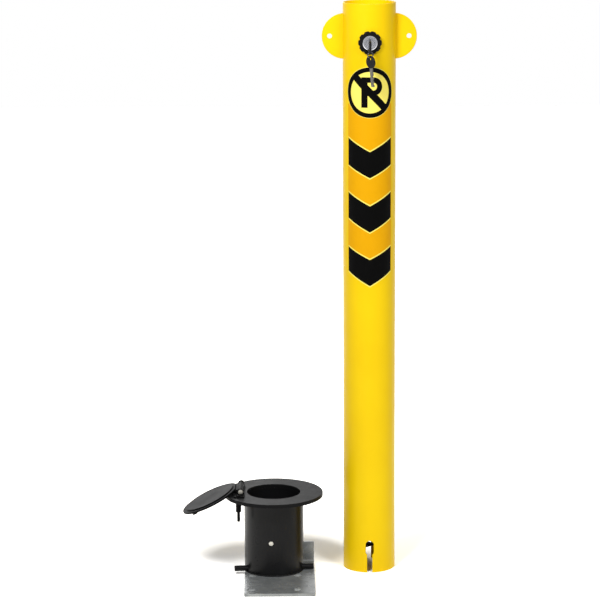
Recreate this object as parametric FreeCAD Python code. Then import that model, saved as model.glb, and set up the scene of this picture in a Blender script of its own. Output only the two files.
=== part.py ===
import FreeCAD, Part
import math
import os

from FreeCAD import Vector

# Removable bollard: a post with a key lock, standing beside its ground socket.
# Millimetres, +Z up. The front faces -Y. The origin is the post's axis at its foot.

# Clearances
weld_gap = 0.05
running_gap = 0.06
free_gap = 0.3

# Post
post_length = 980.0
post_radius = 44.45
post_wall = 3.0
rim_round = 1.2
cap_depth = 12.0
cap_thickness = 3.0

# Keyhole slots in the post's foot
slot_width = 9.0
keyhole_width = 14.0
keyhole_bottom = 30.0
keyhole_top = 56.6

# Eye plates
ear_radius = 38.2
ear_reach = 79.6
ear_drop = 57.0
ear_thickness = 5.0
ear_edge = 0.8
eye_radius = 4.2
eye_reach = 66.5

# Lock
lock_drop = 64.0
barrel_radius = 12.0
barrel_front = 51.0
barrel_back = 22.0
barrel_edge = 0.8
escutcheon_radius = 19.5
escutcheon_proud = 3.2
lobe_count = 10
lobe_radius = 3.2
nut_flats = 30.0
nut_thickness = 6.0
plug_radius = 6.5
plug_proud = 0.6
plug_back = 18.0
keyway_width = 2.4
keyway_height = 8.4

# Cam and crank
drive_square = 6.0
cam_thickness = 4.0
cam_gap = 0.1
cam_margin = 3.0
crank_radius = 10.0
crank_swing = 90.0
crank_pin_radius = 2.5
crank_pin_end = 3.0
crank_slack = 0.45
cam_screw_radius = 4.5
cam_screw_height = 3.0

# Lock rod, its yoke and its guides
rod_radius = 5.0
yoke_width = 18.0
yoke_height = 18.0
yoke_front = 8.0
yoke_back = 6.0
yoke_seat = 4.0
guide_thickness = 5.0
upper_guide_drop = 56.0
lower_guide_rise = 48.0
guide_hole_radius = 11.0
fork_gap = 0.4
fork_depth = 9.5
rod_end = 8.0
rod_pin_radius = 2.0
rod_pin_share = 0.96
fork_side = 1.0

# Latch
latch_thickness = 5.0
latch_swing = 30.0
latch_height = 72.0
latch_hub_radius = 8.0
toe_half = 6.0
toe_reach = 7.6
toe_back = 7.0
toe_height = 9.6
pin_play = 1.6
latch_pin_radius = 3.0
latch_arm_width = 10.0
latch_slack = 0.35
spacer_radius = 5.0

# Keys and ring
key_thickness = 2.0
key_height = 8.0
key_tip = 24.0
key_seat = 1.0
cut_pitch = 6.0
cut_start = 5.0
cut_half = 1.5
cut_rise = 1.5
cut_count = 3
bow_thickness = 3.5
bow_radius = 11.0
bow_reach = 67.0
bow_drop = 6.0
bow_hole_radius = 3.2
bow_hole_reach = 69.0
bow_hole_drop = 11.5
ring_radius = 4.8
ring_slack = 1.2
ring_wire = 0.9
ring_turn = 20.0
spare_turn = 40.0
spare_lean = 5.0
spare_bow_radius = 10.5
spare_hole_up = 5.8
spare_blade_length = 31.0
spare_blade_width = 6.5
spare_blade_seat = 2.0

# Ground socket
socket_x = -165.0
socket_y = -30.0
socket_radius = 50.8
socket_wall = 5.0
socket_height = 137.0
flange_radius = 84.5
flange_thickness = 6.0
flange_round = 1.0
cross_pin_radius = 4.0
cross_pin_height = 64.0
cross_pin_turn = -5.0
cross_pin_proud = 1.8
cross_pin_edge = 0.6
anchor_radius = 5.0
anchor_left = 70.0
anchor_right = 66.5
anchor_forward = 16.0
anchor_lift = 1.0
anchor_turn = 5.0

# Foot bracket
bracket_turn = 0.5
bracket_left = 50.6
bracket_right = 69.3
bracket_front = 144.0
bracket_back = 38.0
bracket_thickness = 5.0
bracket_bend = 5.0
bracket_upstand = 41.0
bracket_corner = 3.0
bolt_spacing = 78.0
bolt_centre = 82.0
bolt_offset = 1.1
bolt_hole_radius = 7.5
drain_radius = 15.0

# Lid hinge
hinge_gap = 5.0
hinge_rise = 7.2
hinge_pin_radius = 2.5
hinge_pin_head = 4.2
hinge_pin_head_height = 2.0
hinge_pin_edge = 0.6
lug_inner = 24.0
lug_thickness = 4.0
lug_radius = 5.6
hinge_base_thickness = 2.0
hinge_base_out = 12.0
hinge_base_in = 7.0
hinge_base_half = 41.0
hinge_base_corner = 4.0
hinge_bolt_radius = 2.5
hinge_bolt_out = 3.5
hinge_bolt_half = 34.5
hinge_bolt_drop = 37.0
hinge_bolt_head = 4.2
hinge_bolt_head_height = 2.0
hinge_bolt_round = 1.2
hinge_nut_flats = 8.0
hinge_nut_height = 20.0

# Lid
lid_radius = 51.5
lid_thickness = 3.0
lid_dish = 2.0
lid_rim = 5.5
lid_slope = 1.5
lid_edge = 0.5
lid_chord_gap = 0.8
knuckle_radius = 4.8
knuckle_half = 23.5
lid_tab_length = 15.0
lid_tab_half = 17.0
lid_tab_thickness = 2.5
knob_inset = 17.0
knob_radius = 5.0
knob_stem_radius = 3.5
knob_height = 14.0
knob_head = 6.0
knob_round = 1.5

# Worked out from the sizes above
ear_height = post_length - ear_drop
lock_height = post_length - lock_drop
bore_radius = post_radius - post_wall
crank_angle = math.radians(crank_swing / 2)
rod_throw = 2 * crank_radius * math.sin(crank_angle)
rod_x = crank_radius * (1 + math.cos(crank_angle)) / 2
yoke_centre = lock_height + rod_throw / 2
latch_angle = math.radians(latch_swing / 2)
latch_arm = rod_throw / 2 / math.tan(latch_angle)
latch_x = rod_x - latch_arm
rod_pin_z = latch_height + rod_throw / 2
cam_front = plug_back - cam_gap
cam_back = cam_front - cam_thickness
foot_z = bracket_thickness
socket_top = foot_z + socket_height
tube_top = socket_top - flange_thickness
socket_bore = socket_radius - socket_wall
pin_seat = cross_pin_height - foot_z - anchor_lift - 2 * anchor_radius
hinge_reach = lid_radius + hinge_gap
hinge_bolt_reach = hinge_reach + hinge_bolt_out
knob_reach = lid_radius - knob_inset
pivot_x = -hinge_reach
pivot_z = socket_top + hinge_rise
lid_outer = hinge_rise - free_gap - lid_thickness
edge_out = flange_radius - hinge_reach
edge_distance = math.hypot(edge_out, hinge_rise)
lid_droop = math.degrees(math.atan2(hinge_rise, edge_out)
                         + math.asin((lid_outer + lid_dish - free_gap) / edge_distance))
lid_open = 180 + lid_droop


def bar(radius, start, end):
    """Round bar between two points."""
    first = Vector(*start)
    along = Vector(*end) - first
    return Part.makeCylinder(radius, along.Length, first, along)


def pipe(outer, inner, start, end):
    """Round bar with a bore along it."""
    return bar(outer, start, end).cut(bar(inner, start, end))


def block(low, high):
    """Box between its lowest and highest corners."""
    size = [b - a for a, b in zip(low, high)]
    return Part.makeBox(*size, Vector(*low))


def hexagon(flats, start, height):
    """Hexagonal bar along +Z, by its width across flats."""
    corner = flats / 2 / math.cos(math.radians(30))
    points = [Vector(corner * math.cos(math.radians(60 * k)),
                     corner * math.sin(math.radians(60 * k)), 0) for k in range(7)]
    face = Part.Face(Part.makePolygon(points))
    prism = face.extrude(Vector(0, 0, height))
    prism.translate(Vector(*start))
    return prism


def slot_prism(radius, first, second, y_low, y_high):
    """Obround prism along Y between two centres given as (x, z)."""
    start = Vector(first[0], y_low, first[1])
    along = Vector(second[0], y_low, second[1]) - start
    side = Vector(along.z, 0, -along.x).normalize() * radius
    corners = [start + side, start + along + side, start + along - side, start - side]
    middle = Part.Face(Part.makePolygon(corners + corners[:1]))
    depth = Vector(0, y_high - y_low, 0)
    ends = [Part.makeCylinder(radius, depth.Length, centre, depth) for centre in (start, start + along)]
    return middle.extrude(depth).fuse(ends).removeSplitter()


def edges_at(shape, height, tolerance=0.01):
    """Circular edges that lie level at one height."""
    found = []
    for edge in shape.Edges:
        bounds = edge.BoundBox
        level = abs(bounds.ZMin - height) < tolerance and abs(bounds.ZMax - height) < tolerance
        if level and isinstance(edge.Curve, Part.Circle):
            found.append(edge)
    return found


def upright_edges(shape):
    """Straight edges that run along Z."""
    return [edge for edge in shape.Edges
            if isinstance(edge.Curve, Part.Line) and abs(edge.tangentAt(edge.FirstParameter).z) > 0.99]


def at_socket(shape, turn=0.0):
    """Turn a shape about the socket's axis and move it to the socket's place."""
    shape.rotate(Vector(0, 0, 0), Vector(0, 0, 1), turn)
    shape.translate(Vector(socket_x, socket_y, 0))
    return shape


# Post

def keyhole():
    """Keyhole through the front and rear walls, open at the post's foot."""
    half = keyhole_width / 2
    wide = slot_prism(half, (0, keyhole_bottom + half), (0, keyhole_top - half),
                      -post_radius - 1, post_radius + 1)
    narrow = block((-slot_width / 2, -post_radius - 1, -1),
                   (slot_width / 2, post_radius + 1, keyhole_bottom + half))
    return wide.fuse(narrow)


def post_tube():
    """Steel tube with an open rounded rim, two keyholes and the lock's hole."""
    tube = pipe(post_radius, bore_radius, (0, 0, 0), (0, 0, post_length))
    tube = tube.makeFillet(min(rim_round, post_wall / 2.2), edges_at(tube, post_length))
    lock_hole = bar(barrel_radius + weld_gap, (0, -post_radius - 1, lock_height), (0, 0, lock_height))
    return tube.cut(keyhole()).cut(lock_hole)


def top_plate():
    """Round plate let into the top of the tube, below its rim."""
    top = post_length - cap_depth
    return bar(bore_radius - weld_gap, (0, 0, top - cap_thickness), (0, 0, top))


def ear(side):
    """Half-round eye plate welded to one side of the post."""
    centre = side * (ear_reach - ear_radius)
    half = ear_thickness / 2
    plate = bar(ear_radius, (centre, -half, ear_height), (centre, half, ear_height))
    rims = [edge for edge in plate.Edges if isinstance(edge.Curve, Part.Circle)]
    plate = plate.makeChamfer(ear_edge, rims)
    reach = 2 * ear_radius
    plate = plate.cut(bar(post_radius, (0, 0, ear_height - reach), (0, 0, ear_height + reach)))
    eye = side * eye_reach
    return plate.cut(bar(eye_radius, (eye, -ear_thickness, ear_height), (eye, ear_thickness, ear_height)))


def guide(height):
    """Round guide plate in the post, with the rod's hole and three lightening holes."""
    top = height + guide_thickness
    plate = bar(bore_radius - weld_gap, (0, 0, height), (0, 0, top))
    plate = plate.cut(bar(rod_radius + running_gap, (rod_x, 0, height), (rod_x, 0, top)))
    ring = (bore_radius + rod_radius) / 2
    for turn in (90, 180, 270):
        x = ring * math.cos(math.radians(turn))
        y = ring * math.sin(math.radians(turn))
        plate = plate.cut(bar(guide_hole_radius, (x, y, height), (x, y, top)))
    return plate


# Lock

def escutcheon():
    """Scalloped ring round the lock, its back following the post."""
    front = post_radius + escutcheon_proud
    ring = pipe(escutcheon_radius, barrel_radius + weld_gap,
                (0, -front, lock_height), (0, -bore_radius / 2, lock_height))
    for k in range(lobe_count):
        turn = 2 * math.pi * (k + 0.5) / lobe_count
        x = (escutcheon_radius + lobe_radius / 2) * math.cos(turn)
        z = lock_height + (escutcheon_radius + lobe_radius / 2) * math.sin(turn)
        ring = ring.cut(bar(lobe_radius, (x, -front, z), (x, 0, z)))
    reach = 2 * escutcheon_radius
    return ring.cut(bar(post_radius, (0, 0, lock_height - reach), (0, 0, lock_height + reach)))


def lock_barrel():
    """Body of the cylinder lock, through the post's wall."""
    barrel = pipe(barrel_radius, plug_radius + running_gap,
                  (0, -barrel_front, lock_height), (0, -barrel_back, lock_height))
    rims = [edge for edge in barrel.Edges
            if isinstance(edge.Curve, Part.Circle) and edge.BoundBox.YMax < -barrel_front + 0.01]
    return barrel.makeChamfer(barrel_edge, rims)


def lock_nut():
    """Hexagonal nut that clamps the barrel from inside the post."""
    corner = nut_flats / 2 / math.cos(math.radians(30))
    seat = math.sqrt(bore_radius ** 2 - corner ** 2) - weld_gap
    nut = hexagon(nut_flats, (0, 0, 0), nut_thickness)
    nut = nut.cut(bar(barrel_radius + weld_gap, (0, 0, 0), (0, 0, nut_thickness)))
    nut.rotate(Vector(0, 0, 0), Vector(1, 0, 0), -90)
    nut.translate(Vector(0, -seat, lock_height))
    return nut


def lock_plug():
    """Turning plug with its keyway and a square drive at the back."""
    front = barrel_front + plug_proud
    plug = bar(plug_radius, (0, -front, lock_height), (0, -plug_back, lock_height))
    keyway = block((-keyway_width / 2, -front - 1, lock_height - keyway_height / 2),
                   (keyway_width / 2, -key_tip + 1, lock_height + keyway_height / 2))
    half = drive_square / 2
    drive = block((-half, -plug_back, lock_height - half), (half, -cam_back, lock_height + half))
    return plug.cut(keyway).fuse(drive)


def lock_cam():
    """Cam plate on the plug's drive, with the crank pin."""
    pin_x = crank_radius * math.cos(crank_angle)
    pin_z = lock_height + crank_radius * math.sin(crank_angle)
    cam = slot_prism(crank_pin_radius + cam_margin, (0, lock_height), (pin_x, pin_z), -cam_front, -cam_back)
    cam = cam.fuse(bar(crank_pin_radius, (pin_x, -cam_back, pin_z), (pin_x, -crank_pin_end, pin_z)))
    half = drive_square / 2 + weld_gap
    return cam.cut(block((-half, -plug_back, lock_height - half),
                         (half, -cam_back + 0.001, lock_height + half)))


def cam_screw():
    """Screw that holds the cam on the plug."""
    return bar(cam_screw_radius, (0, -cam_back, lock_height),
               (0, -cam_back + cam_screw_height, lock_height))


# Rod and latch

def rod_yoke():
    """Block on the rod's head, with the level slot for the crank pin."""
    half = yoke_width / 2
    bottom = yoke_centre - yoke_height / 2
    yoke = block((rod_x - half, -yoke_front, bottom),
                 (rod_x + half, yoke_back, yoke_centre + yoke_height / 2))
    travel = crank_radius * (1 - math.cos(crank_angle)) / 2 + crank_slack
    yoke = yoke.cut(slot_prism(crank_pin_radius + crank_slack, (rod_x - travel, yoke_centre),
                               (rod_x + travel, yoke_centre), -yoke_front - 1, yoke_back + 1))
    return yoke.cut(bar(rod_radius + weld_gap, (rod_x, 0, bottom - 1), (rod_x, 0, bottom + yoke_seat)))


def lock_rod():
    """Long rod from the yoke down to the latch, with a forked foot."""
    top = yoke_centre - yoke_height / 2 + yoke_seat
    bottom = rod_pin_z - rod_end
    rod = bar(rod_radius, (rod_x, 0, bottom), (rod_x, 0, top))
    gap = latch_thickness / 2 + fork_gap
    fork = block((rod_x - rod_radius - fork_side, -gap, bottom - fork_side),
                 (rod_x + rod_radius + fork_side, gap, rod_pin_z + fork_depth))
    pin_hole = bar(rod_pin_radius + weld_gap, (rod_x, -rod_radius, rod_pin_z),
                   (rod_x, rod_radius, rod_pin_z))
    return rod.cut(fork).cut(pin_hole)


def rod_pin():
    """Pin across the rod's fork, in the latch's slot."""
    half = rod_radius * rod_pin_share
    return bar(rod_pin_radius, (rod_x, -half, rod_pin_z), (rod_x, half, rod_pin_z))


def latch_pivot():
    """Pivot pin of the latch, from wall to wall inside the post."""
    half = math.sqrt(bore_radius ** 2 - (abs(latch_x) + latch_pin_radius) ** 2) - weld_gap
    return bar(latch_pin_radius, (latch_x, -half, latch_height), (latch_x, half, latch_height))


def latch_spacers():
    """Two sleeves on the pivot that keep the latch in the middle."""
    near = latch_thickness / 2 + 0.1
    far = math.sqrt(bore_radius ** 2 - (abs(latch_x) + spacer_radius) ** 2) - weld_gap
    sleeves = [pipe(spacer_radius, latch_pin_radius + weld_gap,
                    (latch_x, side * near, latch_height), (latch_x, side * far, latch_height))
               for side in (-1, 1)]
    return Part.makeCompound(sleeves)


def latch_plate(outline, half):
    """Plate along Y with a straight-sided outline given as (x, z)."""
    points = [Vector(x, -half, z) for x, z in outline]
    return Part.Face(Part.makePolygon(points + points[:1])).extrude(Vector(0, 2 * half, 0))


def latch_hook():
    """Hook with a broad toe that closes under the socket's cross pin, and its slotted arm."""
    half = latch_thickness / 2
    heel = pin_seat - cross_pin_radius - pin_play
    apex = heel - toe_height / 2
    sole = heel - toe_height
    throat = -cross_pin_radius - pin_play
    outline = [(latch_x - latch_hub_radius, latch_height), (latch_x + latch_hub_radius, latch_height),
               (throat, pin_seat), (-toe_back, heel), (toe_reach, apex), (-toe_back, sole),
               (-toe_back - latch_hub_radius, sole + latch_hub_radius)]
    toe = [(-toe_back, heel), (toe_reach, apex), (-toe_back, sole)]
    hub = bar(latch_hub_radius, (latch_x, -half, latch_height), (latch_x, half, latch_height))
    near = latch_arm
    far = latch_arm / math.cos(latch_angle)
    middle = (near + far) / 2

    def along(distance):
        return (latch_x + distance * math.cos(latch_angle), latch_height + distance * math.sin(latch_angle))

    arm = slot_prism(latch_arm_width / 2, (latch_x, latch_height), along(middle), -half, half)
    travel = (far - near) / 2 + latch_slack
    slot = slot_prism(rod_pin_radius + latch_slack, along(middle - travel), along(middle + travel),
                      -half - 1, half + 1)
    bore = bar(latch_pin_radius + running_gap, (latch_x, -half - 1, latch_height),
               (latch_x, half + 1, latch_height))
    hook = latch_plate(outline, half).fuse([latch_plate(toe, toe_half), hub, arm])
    return hook.removeSplitter().cut(slot).cut(bore)


# Keys

bow_centre_z = lock_height - bow_drop
bow_hole_z = lock_height - bow_hole_drop
ring_top_z = bow_hole_z - bow_hole_radius + ring_wire + ring_slack
ring_bottom_z = ring_top_z - 2 * ring_radius
spare_hole_z = ring_bottom_z - bow_hole_radius + ring_wire + ring_slack
spare_bow_z = spare_hole_z - spare_hole_up


def bow_disc(radius, thickness, centre, hole):
    """Round key head in the YZ plane, with its hole, both given as (y, z)."""
    half = thickness / 2
    disc = bar(radius, (-half, *centre), (half, *centre))
    rims = [edge for edge in disc.Edges if isinstance(edge.Curve, Part.Circle)]
    disc = disc.makeChamfer(thickness / 5, rims)
    return disc.cut(bar(bow_hole_radius, (-thickness, *hole), (thickness, *hole)))


def key_blade():
    """Blade of the key in the lock, with three cuts along its lower edge."""
    half = key_thickness / 2
    shoulder = bow_reach - bow_radius + key_seat
    low = lock_height - key_height / 2
    blade = block((-half, -shoulder, low), (half, -key_tip, low + key_height))
    for step in range(cut_count):
        y = -key_tip - cut_start - cut_pitch * step
        blade = blade.cut(block((-half, y - cut_half, low), (0, y + cut_half, low + cut_rise)))
    return blade.cut(bow_disc(bow_radius, 2 * bow_thickness, (-bow_reach, bow_centre_z), (0, 0)))


def key_bow():
    """Moulded head of the key in the lock."""
    return bow_disc(bow_radius, bow_thickness, (-bow_reach, bow_centre_z), (-bow_hole_reach, bow_hole_z))


def turned_at_ring(shape, turn):
    """Turn a hanging piece about the upright line through the ring."""
    shape.rotate(Vector(0, -bow_hole_reach, 0), Vector(0, 0, 1), turn)
    return shape


def key_ring():
    """Wire ring through the heads of both keys."""
    ring = Part.makeTorus(ring_radius, ring_wire)
    ring.rotate(Vector(0, 0, 0), Vector(1, 0, 0), 90)
    ring.translate(Vector(0, -bow_hole_reach, ring_top_z - ring_radius))
    return turned_at_ring(ring, ring_turn)


def hung_on_ring(shape):
    """Turn a spare key piece to its rest, leaning a little to the right."""
    shape = turned_at_ring(shape, spare_turn)
    shape.rotate(Vector(0, -bow_hole_reach, ring_bottom_z), Vector(0, 1, 0), -spare_lean)
    return shape


def spare_key_bow():
    """Moulded head of the spare key, hanging on the ring."""
    y = -bow_hole_reach
    return hung_on_ring(bow_disc(spare_bow_radius, bow_thickness, (y, spare_bow_z), (y, spare_hole_z)))


def spare_key_blade():
    """Blade of the spare key, hanging down."""
    half = key_thickness / 2
    low = spare_bow_z - spare_bow_radius - spare_blade_length
    edge = spare_blade_width / 2
    y = -bow_hole_reach
    blade = block((-half, y - edge, low), (half, y + edge, low + spare_blade_length + spare_blade_seat))
    for step in range(cut_count):
        z = low + cut_start + cut_pitch * step
        blade = blade.cut(block((-half, y - edge, z - cut_half), (half, y - edge + cut_rise, z + cut_half)))
    head = bow_disc(spare_bow_radius, 2 * bow_thickness, (y, spare_bow_z), (0, 0))
    return hung_on_ring(blade.cut(head))


# Ground socket

def socket_tube():
    """Socket tube with the holes for the cross pin and the anchor rod."""
    tube = pipe(socket_radius, socket_bore, (0, 0, foot_z), (0, 0, tube_top))
    reach = socket_radius + 1
    cross = bar(cross_pin_radius + weld_gap, (0, -reach, cross_pin_height), (0, reach, cross_pin_height))
    cross.rotate(Vector(0, 0, 0), Vector(0, 0, 1), cross_pin_turn)
    return at_socket(tube.cut(cross).cut(anchor_shape(anchor_radius + weld_gap)))


def socket_flange():
    """Round flange on top of the socket, with the holes for the hinge bolts."""
    flange = pipe(flange_radius, socket_bore, (0, 0, tube_top), (0, 0, socket_top))
    flange = flange.makeFillet(flange_round, edges_at(flange, socket_top))
    for side in (-1, 1):
        place = (-hinge_bolt_reach, side * hinge_bolt_half)
        flange = flange.cut(bar(hinge_bolt_radius + weld_gap, (*place, tube_top), (*place, socket_top)))
    return at_socket(flange)


def cross_pin():
    """Pin across the socket, front to back, that the post's latch holds."""
    reach = socket_radius + cross_pin_proud
    pin = bar(cross_pin_radius, (0, -reach, cross_pin_height), (0, reach, cross_pin_height))
    ends = [edge for edge in pin.Edges if isinstance(edge.Curve, Part.Circle)]
    return at_socket(pin.makeChamfer(cross_pin_edge, ends), cross_pin_turn)


def anchor_shape(radius):
    """Anchor rod at the socket's own origin, slightly turned."""
    height = foot_z + anchor_lift + anchor_radius
    rod = bar(radius, (-anchor_left, -anchor_forward, height), (anchor_right, -anchor_forward, height))
    rod.rotate(Vector(0, 0, 0), Vector(0, 0, 1), anchor_turn)
    return rod


def foot_bracket():
    """Bent galvanised sheet under the socket, with four bolt holes and an upstand."""
    outer = bracket_bend + bracket_thickness
    line = bracket_back - outer
    diagonal = math.cos(math.radians(45))

    def at(y, z):
        return Vector(-bracket_left, y, z)

    def bend(radius):
        return at(line + radius * diagonal, outer - radius * diagonal)

    front = -bracket_front
    inner_back = bracket_back - bracket_thickness
    edges = [Part.LineSegment(at(front, 0), at(line, 0)),
             Part.Arc(at(line, 0), bend(outer), at(bracket_back, outer)),
             Part.LineSegment(at(bracket_back, outer), at(bracket_back, bracket_upstand)),
             Part.LineSegment(at(bracket_back, bracket_upstand), at(inner_back, bracket_upstand)),
             Part.LineSegment(at(inner_back, bracket_upstand), at(inner_back, outer)),
             Part.Arc(at(inner_back, outer), bend(bracket_bend), at(line, bracket_thickness)),
             Part.LineSegment(at(line, bracket_thickness), at(front, bracket_thickness)),
             Part.LineSegment(at(front, bracket_thickness), at(front, 0))]
    profile = Part.Face(Part.Wire([edge.toShape() for edge in edges]))
    sheet = profile.extrude(Vector(bracket_left + bracket_right, 0, 0))
    corners = [edge for edge in upright_edges(sheet) if edge.BoundBox.YMax < front + 1]
    sheet = sheet.makeFillet(bracket_corner, corners)
    half = bolt_spacing / 2
    for x in (bolt_offset - half, bolt_offset + half):
        for y in (-bolt_centre - half, -bolt_centre + half):
            sheet = sheet.cut(bar(bolt_hole_radius, (x, y, -1), (x, y, bracket_thickness + 1)))
    sheet = sheet.cut(bar(drain_radius, (0, 0, -1), (0, 0, bracket_thickness + 1)))
    sheet = sheet.cut(bar(socket_radius + weld_gap, (0, 0, foot_z), (0, 0, bracket_upstand + 1)))
    return at_socket(sheet, bracket_turn)


# Lid and hinge

def hinge_bracket():
    """Bent hinge bracket on the flange: a base with two lugs."""
    top = socket_top + hinge_base_thickness
    base = block((pivot_x - hinge_base_out, -hinge_base_half, socket_top),
                 (pivot_x + hinge_base_in, hinge_base_half, top))
    base = base.makeFillet(hinge_base_corner, upright_edges(base))
    solid = base
    for side in (-1, 1):
        low = min(side * lug_inner, side * (lug_inner + lug_thickness))
        high = low + lug_thickness
        lug = block((pivot_x - lug_radius, low, top), (pivot_x + lug_radius, high, pivot_z))
        lug = lug.fuse(bar(lug_radius, (pivot_x, low, pivot_z), (pivot_x, high, pivot_z)))
        solid = solid.fuse(lug)
    reach = lug_inner + lug_thickness + 1
    solid = solid.removeSplitter().cut(bar(hinge_pin_radius + weld_gap, (pivot_x, -reach, pivot_z),
                                           (pivot_x, reach, pivot_z)))
    for side in (-1, 1):
        place = (-hinge_bolt_reach, side * hinge_bolt_half)
        solid = solid.cut(bar(hinge_bolt_radius + weld_gap, (*place, socket_top), (*place, top)))
    return at_socket(solid)


def hinge_pin():
    """Headed hinge pin along Y."""
    reach = lug_inner + lug_thickness + weld_gap
    pin = bar(hinge_pin_radius, (pivot_x, -reach, pivot_z),
              (pivot_x, reach + hinge_pin_head_height, pivot_z))
    head = bar(hinge_pin_head, (pivot_x, -reach - hinge_pin_head_height, pivot_z), (pivot_x, -reach, pivot_z))
    rims = [edge for edge in head.Edges if edge.BoundBox.YMax < -reach - hinge_pin_head_height + 0.1]
    return at_socket(pin.fuse(head.makeChamfer(hinge_pin_edge, rims)))


def hinge_bolts():
    """Two bolts that hold the hinge bracket on the flange."""
    base_top = socket_top + hinge_base_thickness
    bolts = []
    for side in (-1, 1):
        place = (-hinge_bolt_reach, side * hinge_bolt_half)
        shank = bar(hinge_bolt_radius, (*place, tube_top - hinge_bolt_drop), (*place, base_top))
        head = bar(hinge_bolt_head, (*place, base_top), (*place, base_top + hinge_bolt_head_height))
        head = head.makeFillet(hinge_bolt_round, edges_at(head, base_top + hinge_bolt_head_height))
        bolts.append(shank.fuse(head))
    return at_socket(Part.makeCompound(bolts))


def hinge_nuts():
    """Two long nuts under the flange."""
    nuts = []
    for side in (-1, 1):
        place = (-hinge_bolt_reach, side * hinge_bolt_half)
        nut = hexagon(hinge_nut_flats, (*place, tube_top - hinge_nut_height), hinge_nut_height)
        nuts.append(nut.cut(bar(hinge_bolt_radius + weld_gap, (*place, tube_top - hinge_nut_height),
                                (*place, tube_top))))
    return at_socket(Part.makeCompound(nuts))


def opened(shape):
    """Swing a lid piece from closed to its open rest, and place it at the socket."""
    shape.rotate(Vector(pivot_x, 0, pivot_z), Vector(0, 1, 0), -lid_open)
    return at_socket(shape)


def lid_plate():
    """Pressed round lid whose middle dips into the mouth, with a flat side at the hinge."""
    bottom = socket_top + free_gap
    flat = lid_radius - lid_rim
    plateau = flat - lid_slope
    outline = [(0, -lid_dish), (plateau, -lid_dish), (flat, 0), (lid_radius - lid_edge, 0),
               (lid_radius, lid_edge), (lid_radius, lid_thickness - lid_edge),
               (lid_radius - lid_edge, lid_thickness), (flat, lid_thickness),
               (plateau, lid_thickness - lid_dish), (0, lid_thickness - lid_dish)]
    points = [Vector(r, 0, bottom + z) for r, z in outline]
    face = Part.Face(Part.makePolygon(points + points[:1]))
    lid = face.revolve(Vector(0, 0, 0), Vector(0, 0, 1), 360)
    chord = pivot_x + hinge_base_in + lid_chord_gap
    lid = lid.cut(block((-lid_radius - 1, -lid_radius, bottom - lid_dish - 1),
                        (chord, lid_radius, bottom + lid_thickness + 1)))
    return opened(lid)


def lid_arm():
    """Hinge knuckle with the tab that is welded to the lid."""
    outer = pivot_z - lid_outer
    tab = block((pivot_x, -lid_tab_half, outer),
                (pivot_x + lid_tab_length, lid_tab_half, outer + lid_tab_thickness))
    knuckle = bar(knuckle_radius, (pivot_x, -knuckle_half, pivot_z), (pivot_x, knuckle_half, pivot_z))
    bore = bar(hinge_pin_radius + running_gap, (pivot_x, -knuckle_half, pivot_z),
               (pivot_x, knuckle_half, pivot_z))
    return opened(tab.fuse(knuckle).removeSplitter().cut(bore))


def lid_knob():
    """Round lifting knob on the lid's outer face, near the free edge."""
    base = pivot_z - lid_outer - lid_dish
    neck = base + knob_height - knob_head
    stem = bar(knob_stem_radius, (knob_reach, 0, base), (knob_reach, 0, neck))
    head = bar(knob_radius, (knob_reach, 0, neck), (knob_reach, 0, base + knob_height))
    head = head.makeFillet(knob_round, edges_at(head, base + knob_height))
    return opened(stem.fuse(head))


nodes = {
    "post_tube": post_tube,
    "top_plate": top_plate,
    "ear_left": lambda: ear(-1),
    "ear_right": lambda: ear(1),
    "upper_guide": lambda: guide(lock_height - upper_guide_drop),
    "lower_guide": lambda: guide(latch_height + lower_guide_rise),
    "escutcheon": escutcheon,
    "lock_barrel": lock_barrel,
    "lock_nut": lock_nut,
    "lock_plug": lock_plug,
    "lock_cam": lock_cam,
    "cam_screw": cam_screw,
    "rod_yoke": rod_yoke,
    "lock_rod": lock_rod,
    "rod_pin": rod_pin,
    "latch_pivot": latch_pivot,
    "latch_spacers": latch_spacers,
    "latch_hook": latch_hook,
    "key_blade": key_blade,
    "key_bow": key_bow,
    "key_ring": key_ring,
    "spare_key_bow": spare_key_bow,
    "spare_key_blade": spare_key_blade,
    "socket_tube": socket_tube,
    "socket_flange": socket_flange,
    "cross_pin": cross_pin,
    "anchor_rod": lambda: at_socket(anchor_shape(anchor_radius)),
    "foot_bracket": foot_bracket,
    "hinge_bracket": hinge_bracket,
    "hinge_pin": hinge_pin,
    "hinge_bolts": hinge_bolts,
    "hinge_nuts": hinge_nuts,
    "lid_plate": lid_plate,
    "lid_arm": lid_arm,
    "lid_knob": lid_knob,
}

os.makedirs("parts", exist_ok=True)
for name, build in nodes.items():
    build().exportStep(os.path.join("parts", name + ".step"))
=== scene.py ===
import logging
import math
from dataclasses import dataclass, field
from enum import Enum
from typing import Callable, Iterable, Sequence

import bmesh
import bpy
from mathutils import Matrix, Vector


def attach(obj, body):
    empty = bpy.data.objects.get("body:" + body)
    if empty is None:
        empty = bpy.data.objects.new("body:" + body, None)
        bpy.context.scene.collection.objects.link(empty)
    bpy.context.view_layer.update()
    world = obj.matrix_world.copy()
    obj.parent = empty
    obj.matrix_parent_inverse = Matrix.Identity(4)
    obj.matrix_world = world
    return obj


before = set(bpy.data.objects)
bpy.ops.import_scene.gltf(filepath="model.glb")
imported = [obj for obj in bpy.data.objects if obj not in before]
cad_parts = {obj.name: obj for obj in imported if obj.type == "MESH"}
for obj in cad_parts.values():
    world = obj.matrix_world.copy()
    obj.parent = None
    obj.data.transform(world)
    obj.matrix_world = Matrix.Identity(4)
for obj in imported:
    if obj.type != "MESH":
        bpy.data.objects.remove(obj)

log = logging.getLogger("bollard")

Point = tuple[float, float]
Colour = tuple[float, float, float]

MM = 0.001
POST_BODY = "base"


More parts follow.
